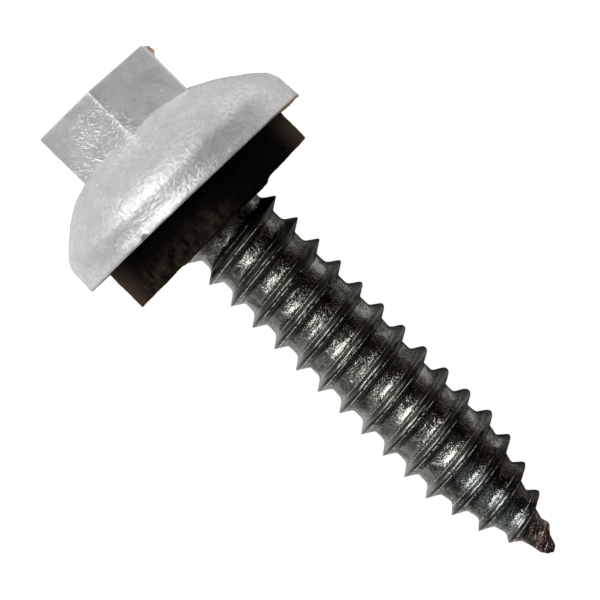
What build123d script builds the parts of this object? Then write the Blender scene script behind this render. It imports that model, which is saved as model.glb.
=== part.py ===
"""Roofing screw: a coarse tapping screw with a cast hexagon head and a rubber sealing washer.

It stands on its head. Z runs from the flat top of the hexagon, at zero, up to the point. One crest
of the thread passes angle zero, on the +X side, just above the washer.
"""

from build123d import *
import math
import os

# Cast head: hexagon
hex_across_flats = 8.0
hex_turn = 2.0
hex_top_fillet = 0.12

# Cast head: domed flange
head_height = 8.43
flange_diameter = 16.82
skirt_height = 1.97
skirt_flare = 0.06
dome_radius = 11.0
shoulder_chamfer = 0.4
dome_root_fillet = 0.6
rim_chamfer = 0.12

# Sealing washer
washer_diameter = 13.95
washer_thickness = 3.0
washer_inset = 0.56
washer_rim_clearance = 0.05
washer_bore_clearance = 0.05
washer_edge_chamfer = 0.12

# Steel anchor that the head is cast round
anchor_cover = 1.4
anchor_across_flats = 5.4
anchor_height = 3.2
neck_diameter = 5.7

# Thread
shank_length = 30.0
crest_diameter = 6.5
root_diameter = 5.1
pitch = 1.8
head_flank_angle = 38.0
tip_flank_angle = 33.0
first_crest_gap = 0.13
buried_turns = 2
run_in_length = 1.4
run_in_cover = 0.3
buried_ridge = 0.04
points_per_turn = 12

# Gimlet point
point_length = 7.8
point_roundness = 1.15
thread_fade_length = 3.8
tip_diameter = 0.44

# Heights above the top of the hexagon
skirt_top = head_height - skirt_height
skirt_top_radius = flange_diameter / 2 - skirt_flare
dome_centre = skirt_top + math.sqrt(dome_radius**2 - skirt_top_radius**2)
dome_crown = dome_centre - dome_radius
recess_floor = head_height - washer_inset
washer_face = recess_floor + washer_thickness
anchor_top = anchor_cover + anchor_height
tip_height = head_height + shank_length
point_start = tip_height - point_length
thread_start = washer_face + first_crest_gap - buried_turns * pitch
neck_end = thread_start + pitch + run_in_cover / 2
run_in_start = neck_end - run_in_cover

thread_depth = (crest_diameter - root_diameter) / 2
turns = math.ceil((tip_height - thread_start) / pitch)


def root_radius(height):
    """Radius of the screw's core: straight, then narrowing to the point."""
    along = min(max((height - point_start) / point_length, 0), 1)
    taper = (root_diameter - tip_diameter) / 2
    return root_diameter / 2 - taper * along**point_roundness


def ridge_height(height):
    """Height of the thread above the core: it grows out of the neck and fades at the point."""
    run_in = (height - run_in_start) / run_in_length
    fade = (tip_height - height) / thread_fade_length
    share = min(max(min(run_in, fade), 0), 1)
    return buried_ridge + (thread_depth - buried_ridge) * share


def thread_point(turn, flank_angle=None):
    """One point on a long edge of the thread, `turn` turns from its start.

    With no flank it lies on the crest, and otherwise at the foot of the flank that leans from the
    crest by that angle, towards the head if it is negative.
    """
    height = thread_start + pitch * turn
    lift = ridge_height(height)
    if flank_angle is not None:
        height += lift * math.tan(math.radians(flank_angle))
        lift = 0
    radius = root_radius(height) + lift
    angle = 2 * math.pi * turn
    return Vector(radius * math.cos(angle), radius * math.sin(angle), height)


def head_foot(turn):
    return thread_point(turn, -head_flank_angle)


def tip_foot(turn):
    return thread_point(turn, tip_flank_angle)


def one_turn(edge_point, first):
    """A long edge of the thread over one turn, from the turn number `first`."""
    steps = range(points_per_turn + 1)
    return Edge.make_spline([edge_point(first + step / points_per_turn) for step in steps])


def strip(first_edge, second_edge):
    """The ruled surface between two long edges."""
    return Face.make_surface_from_curves(first_edge, second_edge)


def thread_end(first):
    """The two faces that close the threaded rod: a helical ramp and a step at angle zero."""
    axis_start = Vector(0, 0, head_foot(first).Z)
    axis_end = Vector(0, 0, head_foot(first + 1).Z)
    ramp = strip(Edge.make_line(axis_start, axis_end), one_turn(head_foot, first))
    corners = [
        axis_start,
        head_foot(first),
        thread_point(first),
        tip_foot(first),
        head_foot(first + 1),
        axis_end,
    ]
    step = Face(Wire.make_polygon(corners, close=True))
    return [ramp, step]


def threaded_rod():
    """The core with its ridge, as strips wound round the axis and sewn into one solid."""
    faces = thread_end(0) + thread_end(turns)
    for turn in range(turns):
        near_foot = one_turn(head_foot, turn)
        crest = one_turn(thread_point, turn)
        far_foot = one_turn(tip_foot, turn)
        next_foot = one_turn(head_foot, turn + 1)
        faces.append(strip(near_foot, crest))
        faces.append(strip(crest, far_foot))
        faces.append(strip(far_foot, next_foot))
    return Solid(Shell(faces))


def disc(diameter, bottom, top):
    """A solid cylinder about the axis between two heights."""
    return Pos(0, 0, bottom) * Cylinder(
        diameter / 2, top - bottom, align=(Align.CENTER, Align.CENTER, Align.MIN)
    )


def hexagon_prism(across_flats, bottom, top):
    """A hexagon about the axis, with a corner turned `hex_turn` past the -Y direction."""
    outline = RegularPolygon(across_flats / 2, 6, major_radius=False, rotation=30 + hex_turn)
    return Pos(0, 0, bottom) * extrude(outline, top - bottom)


def anchor():
    """The screw's own small head and neck, round which the head is cast."""
    upset_hexagon = hexagon_prism(anchor_across_flats, anchor_cover, anchor_top)
    neck = disc(neck_diameter, anchor_top, neck_end)
    return upset_hexagon + neck


def threaded_screw():
    """The one-piece steel screw: anchor, neck, thread and blunt point."""
    tip_plane = Plane.XY.offset(tip_height)
    rod = split(threaded_rod(), bisect_by=tip_plane, keep=Keep.BOTTOM)
    return anchor() + rod


def domed_flange():
    """The bell-shaped flange, a spherical dome over a short skirt, solid down to its rim."""
    crown = (0, dome_crown)
    shoulder = (skirt_top_radius, skirt_top)
    rim = (flange_diameter / 2, head_height)
    rim_centre = (0, head_height)
    half_way = math.asin(skirt_top_radius / dome_radius) / 2
    dome_middle = (dome_radius * math.sin(half_way), dome_centre - dome_radius * math.cos(half_way))
    outline = ThreePointArc(crown, dome_middle, shoulder) + Polyline(
        shoulder, rim, rim_centre, crown
    )
    section = make_face(outline)
    shoulder_corner = section.vertices().sort_by_distance(shoulder)[0]
    section = chamfer(shoulder_corner, shoulder_chamfer)
    rim_corner = section.vertices().sort_by_distance(rim)[0]
    section = chamfer(rim_corner, rim_chamfer)
    return revolve(Plane.XZ * section, Axis.Z)


def cast_head():
    """The hexagon and domed flange in one casting, hollowed for the anchor and the washer."""
    hexagon = hexagon_prism(hex_across_flats, 0, skirt_top)
    hexagon = fillet(hexagon.faces().sort_by(Axis.Z)[0].edges(), hex_top_fillet)
    joined = hexagon + domed_flange()
    dome_root = [edge for edge in joined.edges() if is_dome_root(edge)]
    casting = fillet(dome_root, dome_root_fillet)
    recess = disc(washer_diameter + 2 * washer_rim_clearance, recess_floor, head_height)
    return casting - recess - anchor()


def is_dome_root(edge):
    """Whether an edge lies where the hexagon runs into the dome."""
    box = edge.bounding_box()
    on_dome = dome_crown < box.min.Z and box.max.Z < skirt_top
    return on_dome and box.size.X < hex_across_flats


def sealing_washer():
    """The thick rubber ring that stands out of the recess."""
    bore = crest_diameter + 2 * washer_bore_clearance
    ring = disc(washer_diameter, recess_floor, washer_face) - disc(bore, recess_floor, washer_face)
    outer_edge = ring.faces().sort_by(Axis.Z)[-1].outer_wire().edges()
    return chamfer(outer_edge, washer_edge_chamfer)


parts = {
    "threaded_screw": threaded_screw,
    "cast_head": cast_head,
    "sealing_washer": sealing_washer,
}

os.makedirs("parts", exist_ok=True)
for name, make in parts.items():
    piece = make()
    print(name, "volume", round(piece.volume, 2), "mm3")
    export_step(piece, f"parts/{name}.step")
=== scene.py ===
"""Looks of the roofing screw: threaded steel rod, cast head, rubber washer and a plain studio."""

import math
from types import SimpleNamespace

import bpy
import numpy as np
from mathutils import Euler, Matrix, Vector, noise


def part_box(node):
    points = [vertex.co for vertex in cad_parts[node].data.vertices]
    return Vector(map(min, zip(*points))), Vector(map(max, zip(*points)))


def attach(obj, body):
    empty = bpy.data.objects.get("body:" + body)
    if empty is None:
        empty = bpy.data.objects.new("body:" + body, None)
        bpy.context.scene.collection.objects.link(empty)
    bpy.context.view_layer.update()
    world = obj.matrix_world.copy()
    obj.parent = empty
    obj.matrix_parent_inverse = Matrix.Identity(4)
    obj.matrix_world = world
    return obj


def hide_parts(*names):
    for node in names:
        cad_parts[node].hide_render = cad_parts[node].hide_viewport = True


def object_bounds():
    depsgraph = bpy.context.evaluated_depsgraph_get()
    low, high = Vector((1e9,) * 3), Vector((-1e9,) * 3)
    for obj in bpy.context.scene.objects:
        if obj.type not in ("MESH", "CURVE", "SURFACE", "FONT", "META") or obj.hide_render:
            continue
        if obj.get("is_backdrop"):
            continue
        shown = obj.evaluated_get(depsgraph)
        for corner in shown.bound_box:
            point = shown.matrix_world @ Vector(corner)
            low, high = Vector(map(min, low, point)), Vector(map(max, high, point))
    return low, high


bl_info = {
    "name": "Roofing screw looks",
    "version": (1, 0, 0),
    "blender": (4, 5, 0),
    "location": "View3D > Sidebar > Screw",
    "description": "Models and finishes the rod, the cast head and the washer of a roofing screw",
    "category": "Add Mesh",
}

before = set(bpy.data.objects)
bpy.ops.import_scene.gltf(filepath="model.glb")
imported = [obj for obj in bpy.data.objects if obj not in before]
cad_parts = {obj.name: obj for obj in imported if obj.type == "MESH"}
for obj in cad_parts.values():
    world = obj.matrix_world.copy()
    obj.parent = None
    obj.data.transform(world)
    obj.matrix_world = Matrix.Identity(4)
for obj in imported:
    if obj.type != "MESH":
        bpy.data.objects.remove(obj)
CAD_LOW, CAD_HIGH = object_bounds()
HEAD_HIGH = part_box("cast_head")[1]
WASHER_LOW, WASHER_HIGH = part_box("sealing_washer")
ROD_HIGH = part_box("threaded_screw")[1]
MM = 0.001
MERGE_DISTANCE = 0.002 * MM
SMOOTH_ANGLE = math.radians(50)
SEED_STEPS = (7.3, 3.1, 5.7)


def mm(*values):
    """Millimetres as metres."""
    return tuple(value * MM for value in values)


# Properties


def length(name, description, default_mm):
    """A length property, given in millimetres and held in metres."""
    return bpy.props.FloatProperty(
        name=name, description=description, default=default_mm * MM, unit="LENGTH", precision=5
    )


def colour(name, description, default):
    return bpy.props.FloatVectorProperty(
        name=name, description=description, default=default, subtype="COLOR", min=0, max=1
    )


def ratio(name, description, default):
    return bpy.props.FloatProperty(name=name, description=description, default=default)


def angle_of(name, description, degrees):
    """An angle property, given in degrees and held in radians."""
    return bpy.props.FloatProperty(
        name=name, description=description, default=math.radians(degrees), subtype="ANGLE"
    )


def count(name, description, default, lowest):
    return bpy.props.IntProperty(name=name, description=description, default=default, min=lowest)


class RodSettings(bpy.types.PropertyGroup):
    """Sizes and colours of the threaded steel rod."""

    pitch: length("Pitch", "Distance between two crests", 1.8)
    root_radius: length("Root radius", "Radius of the core between the crests", 2.52)
    crest_lift: length("Crest lift", "Height of a crest above the core", 0.735)
    head_foot: length("Head-side foot", "Reach of a flank towards the head", 0.51)
    tip_foot: length("Tip-side foot", "Reach of a flank towards the point", 0.46)
    first_crest: length("First crest", "Height of a crest on the +X side", 7.46)
    valley_softness: length("Valley softness", "Roundness where a flank runs into the core", 0.05)
    head_softness: length("Head-side softness", "The same, on the head side of a crest", 0.10)
    point_length: length("Point length", "Length of the tapered end", 7.8)
    point_roundness: ratio("Point roundness", "How full the taper is, 1 being a cone", 1.15)
    fade_length: length("Fade length", "Length over which the thread dies at the point", 3.3)
    tip_radius: length("Tip radius", "Radius of the blunt tip", 0.30)
    tip_rounding: length("Tip rounding", "Length over which the blunt tip rounds off", 0.13)
    wear: length("Wear", "How far the most worn crests are rubbed down", 0.13)
    front_wear: length("Light wear", "How far every crest is rubbed down here and there", 0.15)
    waist: length("Waist", "How much thinner the core is on one side", 0.13)
    point_bend: length("Point bend", "How far the tip is knocked off the axis", 0.19)
    neck_radius: length("Neck radius", "Radius of the plain neck inside the head", 2.85)
    neck_end: length("Neck end", "Height where the neck ends", 9.35)
    anchor_cover: length("Anchor cover", "Height where the hexagon inside the head starts", 1.4)
    anchor_top: length("Anchor top", "Height where the hexagon inside the head ends", 4.6)
    anchor_apothem: length("Anchor size", "Half the hexagon inside the head, across flats", 2.7)
    # Also the colour of the painted highlight at the head-side foot of each crest.
    bare_steel: colour("Bare steel", "Scratched, rubbed steel", (0.60, 0.59, 0.55))
    # Painted highlight: the colour of the bright line beside the fold.
    bright: colour("Bright steel", "The bright edge beside the fold", (0.92, 0.92, 0.9))
    band: colour("Band", "Smooth greenish film on the head side of a crest", (0.24, 0.255, 0.235))
    land: colour("Land", "Smooth dark film along a crest", (0.045, 0.05, 0.046))
    flank: colour("Flank", "Brownish film on the tip side of a crest", (0.21, 0.19, 0.16))
    # Painted shade: the colour of a dark band down one side of the rod, where the steel mirrors dark
    # surroundings.
    shadow: colour("Long stain", "Brown stain along one side of the rod", (0.035, 0.024, 0.02))
    # Also painted shade: beside the front strip near the point, and along the fold and the foot groove.
    pit: colour("Pit", "Dirt in the pits", (0.01, 0.009, 0.008))
    film: colour("Film", "Grey film that covers most of the steel", (0.24, 0.245, 0.225))
    # Also the colour of the painted shade on the band towards -X.
    stain: colour("Stain", "Dark patches in the film", (0.06, 0.062, 0.058))
    rust: colour("Rust", "Reddish specks", (0.13, 0.055, 0.035))
    edge: colour("Crest edge", "Beige film on the edges of the crests", (0.30, 0.21, 0.16))
    brown: colour("Brown point", "Brown film on the point", (0.03, 0.018, 0.013))
    # Also a painted highlight: the lighter bluish strip down the front of the point.
    polished: colour("Polished steel", "Bluish steel near the point", (0.26, 0.29, 0.32))
    turn_steps: count("Steps", "Mesh steps in one turn of the thread", 144, 24)
    section_steps: count("Section", "Mesh steps along one pitch", 30, 12)


class HeadSettings(bpy.types.PropertyGroup):
    """Sizes and colours of the cast head."""

    apothem: length("Hexagon size", "Half the hexagon, across flats", 4.04)
    hexagon_turn: angle_of("Hexagon turn", "How far a corner is turned past the -Y side", 2)
    corner_sharpness: ratio("Corner sharpness", "Higher is sharper", 120)
    dome_radius: length("Dome radius", "Radius of the spherical flange", 11.0)
    skirt_height: length("Skirt height", "Height of the wall under the dome", 1.97)
    skirt_flare: length("Skirt flare", "How much the skirt widens down to its rim", 0.06)
    skirt_waist: length("Skirt waist", "How far the skirt is drawn in above its rim", 0.08)
    root_fillet: length("Root fillet", "Softness where the hexagon runs into the dome", 0.12)
    shoulder_fillet: length("Shoulder", "Softness between the dome and the skirt", 0.62)
    cast: colour("Casting", "Grey of the tumbled zinc", (0.56, 0.55, 0.565))
    cast_dark: colour("Dull casting", "Darker cloudy patches", (0.38, 0.38, 0.39))
    grain: colour("Grain", "Dark fine grain", (0.29, 0.29, 0.30))
    # Also the colour of painted highlights on the wrinkles and at the foot of the hexagon's corners.
    bright: colour("Bright metal", "Rubbed ridges and specks", (0.95, 0.95, 0.94))
    rust: colour("Burr", "Brown burr on the hexagon's rim", (0.32, 0.17, 0.07))
    # Amber colour painted along the lowest edge of the rim on its -X side.
    sealant: colour("Sealant", "Amber line under the rim", (0.30, 0.19, 0.07))
    lean: ratio("Lean", "Rise of the casting for each step towards -X", 0.043)
    lean_loss: ratio("Lean loss", "How much less the rim leans than the hexagon", 0.012)
    nod: ratio("Nod", "Rise of the rim for each step towards +Y", 0.006)
    lean_lift: length("Lean lift", "Height that the lean adds on the axis", 0.07)
    sag: length("Sag", "How far the dome sinks on its -X side", 0.20)
    near_sag: length("Near sag", "How far its shoulder sinks on the +X side", 0.06)
    turn_steps: count("Steps", "Mesh steps round the head", 432, 24)


class WasherSettings(bpy.types.PropertyGroup):
    """Sizes and colours of the rubber washer."""

    lip_height: length("Lip", "How far the rubber swells round the rod", 0.12)
    swell: length("Swell", "How much further it swells on the -X side", 0.12)
    raggedness: length("Raggedness", "Unevenness of the cut faces", 0.035)
    shrink: length("Shrink", "How much smaller the worn rubber is", 0.05)
    lean: ratio("Lean", "Rise of the free face for each step towards +X", 0.011)
    rubber: colour("Rubber", "Black rubber", (0.001, 0.0007, 0.0004))
    dust: colour("Dust", "Brown dust on the rubber", (0.034, 0.022, 0.012))
    turn_steps: count("Steps", "Mesh steps round the washer", 288, 24)


class StudioSettings(bpy.types.PropertyGroup):
    """The camera, lights and floor."""

    distance: length("Distance", "From the camera to the screw's axis", 175)
    eye_height: length("Eye height", "Height of the camera above the floor", 9.5)
    aim_height: length("Aim height", "Height of the point at the picture's centre", 17.3)
    aim_side: length("Aim side", "How far the picture's centre lies off the axis", 0.12)
    frame_width: length("Frame width", "Width of the picture at the screw", 35.4)
    roll: angle_of("Roll", "Camera roll", 134.6)
    floor_size: length("Floor size", "Width of the floor", 3000)
    paper: colour("Paper", "Pale floor", (0.9, 0.9, 0.9))


# Mesh tools


def start_clean():
    """Leaves edit mode with nothing selected."""
    if bpy.context.object is not None and bpy.context.object.mode != "OBJECT":
        bpy.ops.object.mode_set(mode="OBJECT")
    bpy.ops.object.select_all(action="DESELECT")


def select_only(piece):
    """Makes a piece the only one that operators act on."""
    start_clean()
    bpy.context.view_layer.objects.active = piece
    piece.select_set(True)


def draw_chain(name, points):
    """A new piece that is one chain of edges, drawn by pulling a point out again and again."""
    start_clean()
    bpy.ops.mesh.primitive_plane_add(size=MM, location=(0, 0, 0))
    piece = bpy.context.object
    piece.name = name
    piece.data.name = name
    bpy.ops.object.mode_set(mode="EDIT")
    bpy.ops.mesh.merge(type="CENTER")
    here = Vector((0, 0, 0))
    for index, point in enumerate(points):
        step = Vector(point) - here
        if index == 0:
            bpy.ops.transform.translate(value=step)
        else:
            bpy.ops.mesh.extrude_vertices_move(TRANSFORM_OT_translate={"value": step})
        here = Vector(point)
    bpy.ops.object.mode_set(mode="OBJECT")
    return piece


def apply_modifier(piece, modifier):
    bpy.context.view_layer.objects.active = piece
    bpy.ops.object.modifier_apply(modifier=modifier.name)


def get_points(piece):
    points = np.empty(len(piece.data.vertices) * 3)
    piece.data.vertices.foreach_get("co", points)
    return points.reshape(-1, 3)


def set_points(piece, points):
    piece.data.vertices.foreach_set("co", points.ravel())
    piece.data.update()


def to_polar(points):
    """Radius and angle about the screw's axis, and height."""
    return np.hypot(points[:, 0], points[:, 1]), np.arctan2(points[:, 1], points[:, 0]), points[:, 2]


def from_polar(radius, angle, height):
    return np.column_stack((radius * np.cos(angle), radius * np.sin(angle), height))


def smooth_step(value, low, high):
    """0 up to `low`, 1 from `high`, and a smooth rise between them."""
    t = np.clip((value - low) / (high - low), 0, 1)
    return t * t * (3 - 2 * t)


def hump(value, rise, fall):
    """A smooth rise from 0 to 1 over one pair of values, and back to 0 over another."""
    return smooth_step(value, *rise) * (1 - smooth_step(value, *fall))


def roughness_at(points, grain, seed, octaves=3):
    """Cloudy noise about zero at each point, with lumps the size of `grain`."""
    shift = Vector([seed * step for step in SEED_STEPS])
    scaled = points / grain
    return np.array([noise.fractal(Vector(p) + shift, 1.0, 2.0, octaves) for p in scaled])


def clean_surface(piece):
    """Merges doubled points and points the faces outwards."""
    select_only(piece)
    bpy.ops.object.mode_set(mode="EDIT")
    bpy.ops.mesh.select_all(action="SELECT")
    bpy.ops.mesh.remove_doubles(threshold=MERGE_DISTANCE)
    bpy.ops.mesh.normals_make_consistent(inside=False)
    bpy.ops.object.mode_set(mode="OBJECT")


def shade(piece):
    select_only(piece)
    bpy.ops.object.shade_smooth_by_angle(angle=SMOOTH_ANGLE)


def place_on_frame(piece, node, material):
    """Puts a finished piece on the CAD frame in place of a node."""
    piece.data.materials.clear()
    piece.data.materials.append(material)
    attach(piece, "root")
    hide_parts(node)


def corner_radius(apothem):
    """Distance from a hexagon's middle to its corners."""
    return apothem / math.cos(math.pi / 6)


def hexagon_radius(angle, apothem, turn, sharpness):
    """Distance from the axis to a hexagon with slightly rounded corners, one near the -Y side."""
    total = np.zeros_like(angle)
    for side in range(6):
        facing = np.cos(angle - turn - side * math.pi / 3)
        total += np.clip(facing, 0, 1) ** sharpness
    return apothem / total ** (1 / sharpness)


# Threaded rod

# Heights at which the rod changes: where a change sets in, and where it is complete
WEAR_GROWS = mm(14, 24)
WEAR_FADES = mm(29, 32)
WAIST_GROWS = mm(21, 23.5)
WAIST_FADES = mm(28, 30)
BEND_GROWS = mm(28.5, 35.5)
BATTERING_GROWS = mm(36, 37.4)

# How nearly a surface faces -X, from none of the change to all of it
WAIST_FACES = (0.3, 0.95)

CREST_CROWDING = 0.75
CREST_SOFTNESS = 0.01 * MM
WORN_SOFTNESS = 0.012 * MM
SOFTNESS_FROM_WEAR = 0.12
ROLLING_MARKS = 0.012 * MM
TIP_BATTERING = 0.05 * MM
BLUNTEST = 0.985


def thread_section(rod):
    """One pitch of the thread's outline beside the axis, from mid-valley to mid-valley."""
    points = []
    for step in range(rod.section_steps + 1):
        even = 2 * step / rod.section_steps - 1
        along = rod.pitch / 2 * ((1 - CREST_CROWDING) * even + CREST_CROWDING * even**3)
        foot = rod.head_foot if along < 0 else rod.tip_foot
        near_foot = min(abs(along) / foot, 1)
        soft = rod.head_softness if along < 0 else rod.valley_softness
        soft = CREST_SOFTNESS + (soft - CREST_SOFTNESS) * near_foot
        flank = rod.crest_lift * (1 - abs(along) / foot)
        lift = soft * math.log(1 + math.exp(flank / soft))
        points.append((rod.root_radius + lift, 0, rod.first_crest + along))
    return points


def wind_thread(rod, tip_height):
    """The thread's outline wound up the axis, one turn past the tip."""
    piece = draw_chain("steel_rod", thread_section(rod))
    winding = piece.modifiers.new("Winding", "SCREW")
    winding.axis = "Z"
    winding.angle = math.tau
    winding.screw_offset = rod.pitch
    winding.iterations = math.ceil((tip_height - rod.first_crest) / rod.pitch) + 1
    winding.steps = rod.turn_steps
    winding.render_steps = rod.turn_steps
    apply_modifier(piece, winding)
    clean_surface(piece)
    return piece


def cut_flat(piece, height, keep_above):
    """Cuts the piece off square at a height and closes the cut."""
    select_only(piece)
    bpy.ops.object.mode_set(mode="EDIT")
    bpy.ops.mesh.select_all(action="SELECT")
    bpy.ops.mesh.bisect(
        plane_co=(0, 0, height),
        plane_no=(0, 0, 1),
        use_fill=True,
        clear_inner=keep_above,
        clear_outer=not keep_above,
    )
    bpy.ops.object.mode_set(mode="OBJECT")


def core_radius(rod, height, tip_height):
    """Radius of the core: straight, then narrowing to the blunt tip."""
    along = np.clip((height - (tip_height - rod.point_length)) / rod.point_length, 0, 1)
    return rod.root_radius - (rod.root_radius - rod.tip_radius) * along**rod.point_roundness


def crest_wear(rod, points, angle, height):
    """How far the crests are rubbed down: here and there all round, and most on the -X side."""
    far_side = 0.5 - 0.5 * np.cos(angle)
    patchy = np.clip(0.5 + roughness_at(points, grain=0.7 * MM, seed=7), 0, 1)
    light_wear = rod.front_wear * (0.5 + 0.5 * patchy) * (1 - abs(np.cos(angle)) ** 3)
    return rod.wear * far_side**2 * hump(height, WEAR_GROWS, WEAR_FADES) + light_wear


def shape_thread(piece, rod, tip_height):
    """Tapers the point, lets the thread die out there, and rubs down the worn crests."""
    points = get_points(piece)
    radius, angle, height = to_polar(points)
    lift = np.clip(radius - rod.root_radius, 0, None)
    fade = np.clip((tip_height - height) / rod.fade_length, 0, 1)
    wear = crest_wear(rod, points, angle, height)
    limit = rod.crest_lift - wear
    soft = WORN_SOFTNESS + SOFTNESS_FROM_WEAR * wear
    lift = -soft * np.log(np.exp(-lift / soft) + np.exp(-limit / soft))
    waist = hump(height, WAIST_GROWS, WAIST_FADES)
    waist_side = smooth_step(-np.cos(angle), *WAIST_FACES)
    radius = core_radius(rod, height, tip_height) + lift * fade
    radius -= rod.waist * waist * waist_side * (1 - lift / rod.crest_lift)
    near_tip = np.clip((height - (tip_height - rod.tip_rounding)) / rod.tip_rounding, 0, BLUNTEST)
    radius *= np.sqrt(1 - near_tip**2)
    radius += ROLLING_MARKS * roughness_at(points, grain=0.5 * MM, seed=1)
    battered = smooth_step(height, *BATTERING_GROWS)
    radius += TIP_BATTERING * battered * roughness_at(points, grain=0.6 * MM, seed=8)
    points = from_polar(radius, angle, height)
    points[:, 0] += rod.point_bend * smooth_step(height, *BEND_GROWS)
    set_points(piece, points)


def pull_neck(piece, rod, head):
    """Pulls the end face down into the plain neck and the hexagon that the head is cast round."""
    select_only(piece)
    cap = min(piece.data.polygons, key=lambda face: face.center.z)
    for part in (piece.data.vertices, piece.data.edges, piece.data.polygons):
        part.foreach_set("select", [False] * len(part))
    cap.select = True
    for height, is_hexagon in (
        (rod.neck_end, False),
        (rod.anchor_top, False),
        (rod.anchor_top, True),
        (rod.anchor_cover, True),
    ):
        bpy.ops.object.mode_set(mode="EDIT")
        bpy.ops.mesh.extrude_region_move()
        bpy.ops.object.mode_set(mode="OBJECT")
        for vertex in piece.data.vertices:
            if not vertex.select:
                continue
            angle = math.atan2(vertex.co.y, vertex.co.x)
            radius = rod.neck_radius
            if is_hexagon:
                radius = hexagon_radius(
                    np.array([angle]), rod.anchor_apothem, head.hexagon_turn, head.corner_sharpness
                )[0]
            vertex.co = (radius * math.cos(angle), radius * math.sin(angle), height)
    piece.data.update()


class SCREW_OT_rod(bpy.types.Operator):
    """Model the threaded steel rod and its hidden neck"""

    bl_idname = "screw.rod"
    bl_label = "Steel rod"

    def execute(self, context):
        rod = context.scene.screw_rod
        tip_height = ROD_HIGH.z
        piece = wind_thread(rod, tip_height)
        cut_flat(piece, tip_height, keep_above=False)
        cut_flat(piece, rod.neck_end, keep_above=True)
        shape_thread(piece, rod, tip_height)
        pull_neck(piece, rod, context.scene.screw_head)
        clean_surface(piece)
        shade(piece)
        place_on_frame(piece, "threaded_screw", steel_material(rod))
        return {"FINISHED"}


# Cast head

CAST_EDGE = 0.12 * MM
RECESS_CLEARANCE = 0.05 * MM
HEXAGON_BLEND = 0.9 * MM

# How nearly a side faces one way along X, from none of a change to all of it
SIDE_FACES = (0.2, 0.85)

# Distances from the axis, where a change sets in and where it is complete
CASTING_WAVES = mm(3.0, 4.4)
SAG_GROWS = mm(3.6, 4.0)
SAG_EASES = mm(6.5, 7.8)
ROOT_ENDS = mm(4.5, 5.3)
SHOULDER_STARTS = mm(6.4, 7.2)
SKIRT_STARTS = mm(7.6, 8.0)
RIM_STARTS = mm(8.0, 8.3)
RIM_EDGE = mm(8.1, 8.4)

# The same for heights
NOTCHED_HEIGHT = mm(7.9, 8.25)
UNEVEN_HEIGHT = mm(7.6, 8.4)
DRAWN_IN_GROWS = mm(6.75, 7.7)
DRAWN_IN_FADES = mm(7.75, 8.35)
BURR_GROWS = mm(0.0, 0.3)
BURR_FADES = mm(0.6, 1.0)
ABOVE_ROOT = 1.2 * MM
BURR_LOWEST = 2 * MM

# Directions round the axis in degrees, and how far a mark reaches, in full and at all
NOTCH = -63.5
NOTCH_REACH = (0.8, 2.2)
FAR_SIDE = 180
FAR_SIDE_REACH = (16, 34)
BURR = 181
BURR_REACH = (3, 7)

# How nearly the skirt faces +X and -Y where it is drawn in
DRAWN_IN_ALONG_X = (-0.8, 0.0)
DRAWN_IN_ALONG_Y = (-0.2, 0.5)

SAG_EASED = 0.7
ROOT_SAG = 2.2
NOTCH_DEPTH = 0.22 * MM
LIP_RISE = 0.02 * MM
LIP_LUMPS = 0.06 * MM
DENT_DEPTH = 0.09 * MM
DENT_SHARE = 0.3
BURR_SIZE = 0.24 * MM
BURR_LUMPS = 0.12 * MM
BURR_FROM_AXIS = 3.8 * MM
RIM_WAVES = 0.06 * MM
WIDE_WAVES = 0.02 * MM
FINE_WAVES = 0.006 * MM
PATCHINESS = 0.35
PRESSING_MARGIN = 0.01 * MM
SINKING_MARGIN = 0.05 * MM
RIM_CIRCLE = 8 * MM


def dome_height(head, radius):
    """Height of the spherical flange at a distance from the axis."""
    shoulder_radius = HEAD_HIGH.x - head.skirt_flare
    skirt_top = HEAD_HIGH.z - head.skirt_height
    centre = skirt_top + math.sqrt(head.dome_radius**2 - shoulder_radius**2)
    return centre - np.sqrt(head.dome_radius**2 - np.asarray(radius) ** 2)


class Outline:
    """Points of (radius, height) beside the axis, in stretches that start where the last one ends."""

    def __init__(self, *start):
        self.points = [start]

    def line(self, *end, steps):
        """A straight stretch of evenly spaced points."""
        start = np.array(self.points[-1])
        self.points += [tuple(start + (np.array(end) - start) * k / steps) for k in range(1, steps + 1)]

    def bend(self, corner, end, steps):
        """A soft bend round a corner."""
        start = np.array(self.points[-1])
        for k in range(1, steps + 1):
            t = k / steps
            first = start * (1 - t) ** 2
            middle = np.array(corner) * 2 * t * (1 - t)
            self.points.append(tuple(first + middle + np.array(end) * t**2))


def dome_line(head, start, end, steps):
    """Points along the dome between two distances from the axis, without the first."""
    radii = [start + (end - start) * k / steps for k in range(1, steps + 1)]
    return [(radius, float(dome_height(head, radius))) for radius in radii]


def head_outline(head, rod):
    """The head's outline, down the outside and up the inside."""
    corner = corner_radius(head.apothem)
    root = float(dome_height(head, corner))
    root_end = corner + head.root_fillet
    rim = HEAD_HIGH.x
    rim_height = HEAD_HIGH.z
    skirt_top_radius = rim - head.skirt_flare
    skirt_top = rim_height - head.skirt_height
    shoulder_start = skirt_top_radius - head.shoulder_fillet
    recess_radius = WASHER_HIGH.x + RECESS_CLEARANCE
    outline = Outline(0.0, 0.0)
    outline.line(corner - CAST_EDGE, 0, steps=18)
    outline.bend((corner, 0), (corner, CAST_EDGE), steps=4)
    outline.line(corner, root - head.root_fillet, steps=22)
    outline.bend((corner, root), (root_end, float(dome_height(head, root_end))), steps=10)
    outline.points += dome_line(head, root_end, shoulder_start, steps=26)
    outline.bend(
        (skirt_top_radius, skirt_top), (skirt_top_radius, skirt_top + head.shoulder_fillet), steps=8
    )
    outline.line(rim, rim_height - CAST_EDGE, steps=14)
    outline.bend((rim, rim_height), (rim - CAST_EDGE, rim_height), steps=3)
    outline.line(recess_radius, rim_height, steps=8)
    outline.line(recess_radius, WASHER_LOW.z, steps=4)
    outline.line(rod.neck_radius, WASHER_LOW.z, steps=8)
    outline.line(rod.neck_radius, rod.anchor_top, steps=4)
    return outline.points


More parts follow.
